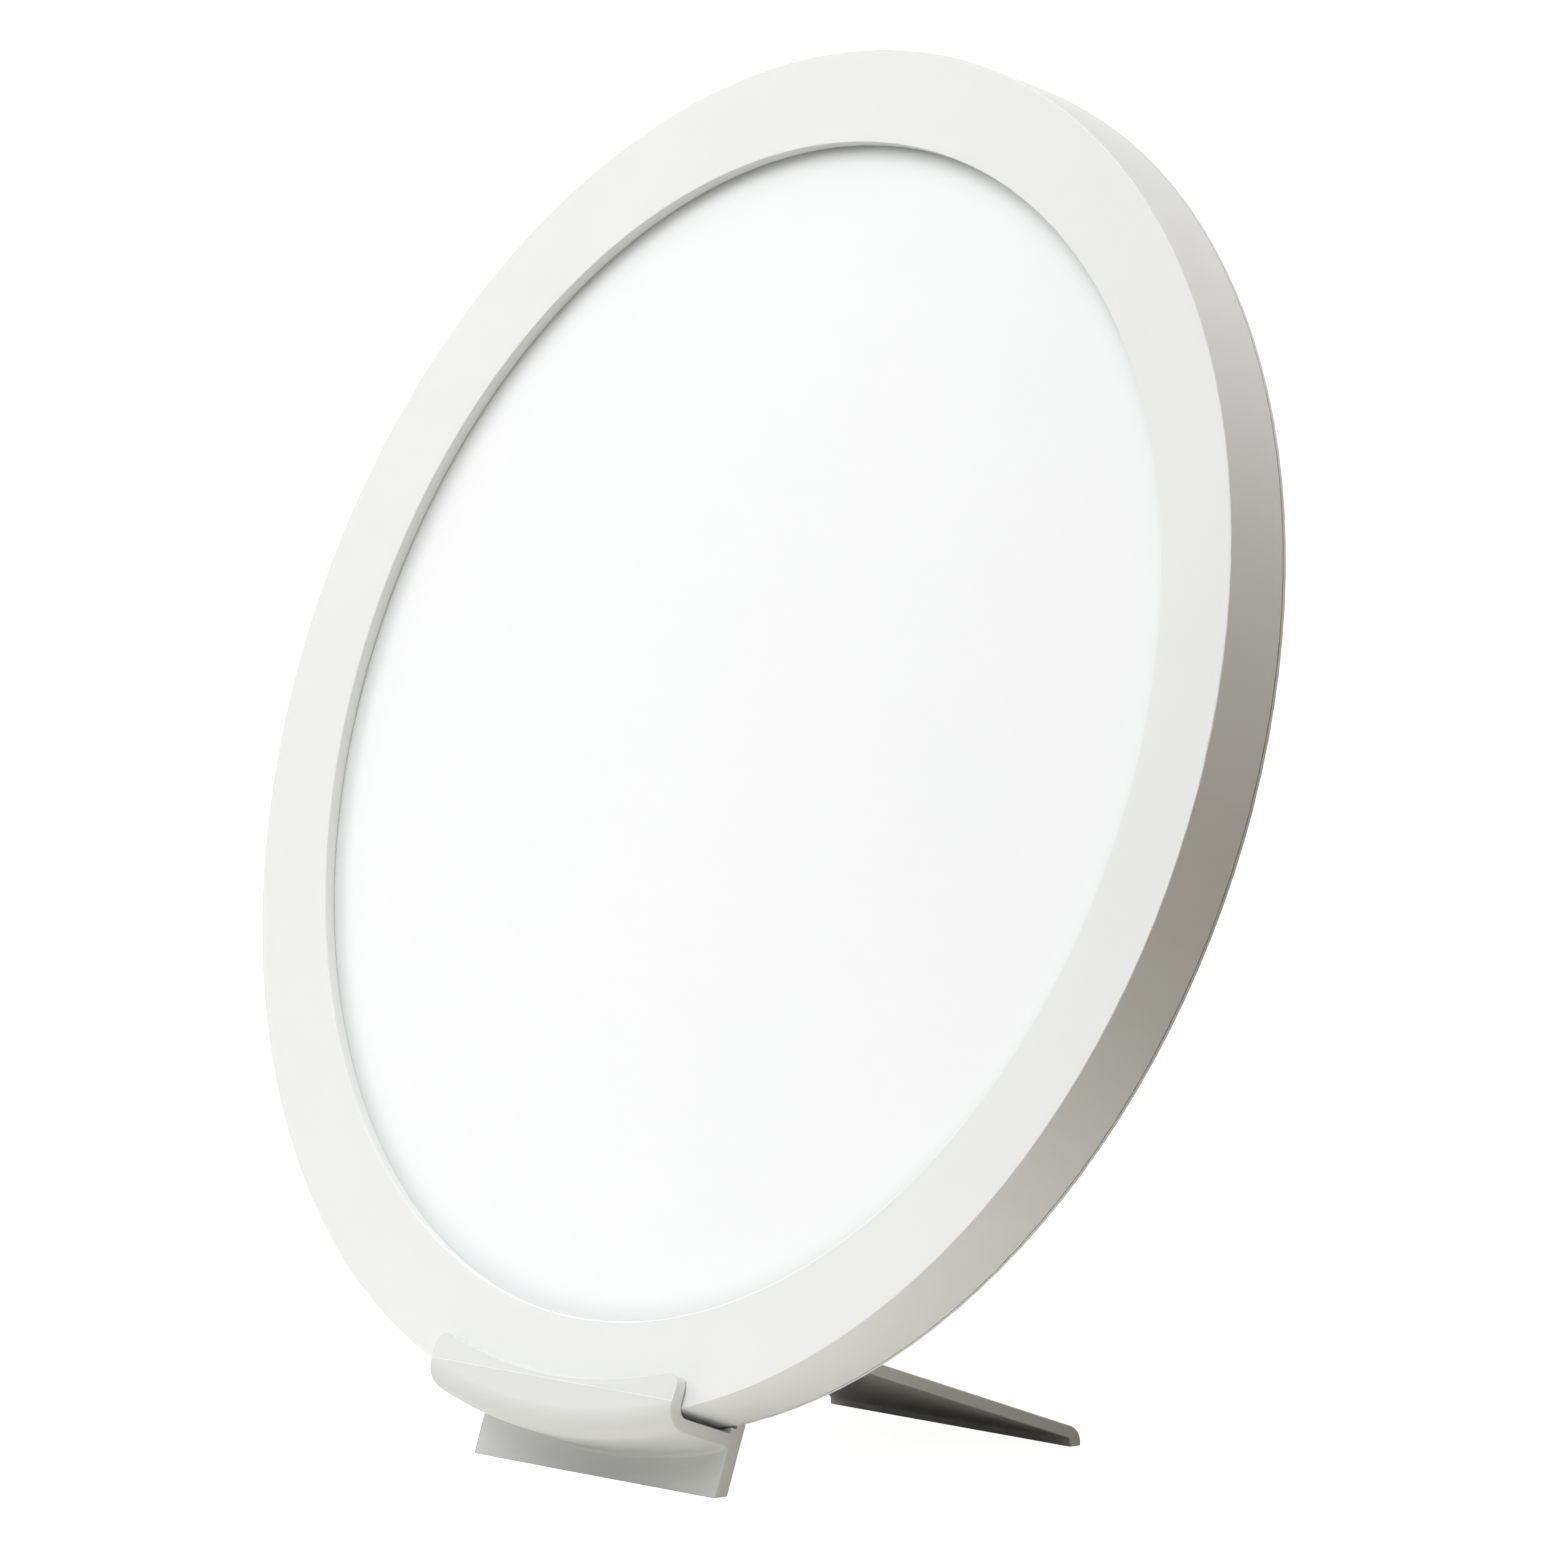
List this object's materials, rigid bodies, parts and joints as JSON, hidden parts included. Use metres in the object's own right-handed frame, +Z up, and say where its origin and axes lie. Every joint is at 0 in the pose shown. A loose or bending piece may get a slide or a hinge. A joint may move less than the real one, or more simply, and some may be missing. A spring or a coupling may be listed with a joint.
{
  "type": "light therapy lamp",
  "caption": "Slim round edge-lit panel lamp with a white diffuser, leaning back in a cradle with a folding rear leg.",
  "frame": {"origin": "on the table, under the middle of the cradle's foot", "axes": "+X to the lamp's left as it faces the user (right in a front view), +Y to the rear, +Z up"},
  "size_m": [0.3, 0.1198, 0.297],
  "materials": {
    "shell_plastic": "moulded ABS, fine satin texture",
    "stand_plastic": "moulded ABS, fine satin texture",
    "button_plastic": "moulded ABS, satin",
    "opal_acrylic": "extruded opal acrylic, satin",
    "clear_acrylic": "clear cast acrylic, polished",
    "diffusion_film": "white polyester film",
    "reflector_film": "white foamed polyester film",
    "tray_aluminium": "pressed sheet, mill finish",
    "strip_laminate": "white solder mask on flexible circuit",
    "led_phosphor": "phosphor in clear resin",
    "circuit_board": "green solder mask on glass laminate",
    "capacitor_sleeve": "shrunk sleeve over aluminium can",
    "ferrite": "sintered ferrite",
    "chip_epoxy": "moulded epoxy",
    "connector_nylon": "natural nylon",
    "wire_insulation": "soft PVC",
    "ribbon_insulation": "soft PVC flat cable",
    "screw_steel": "zinc-plated steel",
    "socket_plastic": "moulded nylon",
    "socket_pin": "nickel-plated brass",
    "switch_plastic": "moulded nylon",
    "gasket_foam": "closed-cell foam tape",
    "pad_rubber": "translucent silicone",
    "hinge_steel": "drawn stainless rod"
  },
  "bodies": {
    "stand": {"stand_cradle": "stand_plastic", "cradle_pads": "pad_rubber", "hinge_pin": "hinge_steel"},
    "panel": {"front_bezel": "shell_plastic", "rear_cover": "shell_plastic", "diffuser_panel": "opal_acrylic", "window_gasket": "gasket_foam", "diffusion_film": "diffusion_film", "light_guide": "clear_acrylic", "reflector_sheet": "reflector_film", "led_tray": "tray_aluminium", "led_strip": "strip_laminate", "led_chips": "led_phosphor", "cover_screws": "screw_steel", "driver_board": "circuit_board", "driver_capacitors": "capacitor_sleeve", "driver_inductor": "ferrite", "driver_chip": "chip_epoxy", "strip_connector": "connector_nylon", "strip_leads": "wire_insulation", "signal_connectors": "connector_nylon", "button_ribbon": "ribbon_insulation", "board_screws": "screw_steel", "dc_jack": "socket_plastic", "dc_jack_pin": "socket_pin", "supply_leads": "wire_insulation", "button_board": "circuit_board", "tact_switch": "switch_plastic"},
    "leg": {"stand_leg": "stand_plastic"},
    "button": {"power_button": "button_plastic", "switch_plunger": "switch_plastic"}
  },
  "joints": [
    {"name": "panel_lift", "type": "slide", "parent": "stand", "child": "panel", "axis": [0, 0.3387, 0.9409], "range_m": [0, 0.03]},
    {"name": "leg_fold", "type": "hinge", "parent": "stand", "child": "leg", "pos_m": [0, 0.01565, 0.0265], "axis": [-1, 0, 0], "range_deg": [0, 90]},
    {"name": "button_press", "type": "slide", "parent": "panel", "child": "button", "axis": [0, -0.9409, 0.3387], "range_m": [0, 0.0006], "stiffness_N_per_m": 2500, "springref_m": -0.0002}
  ]
}
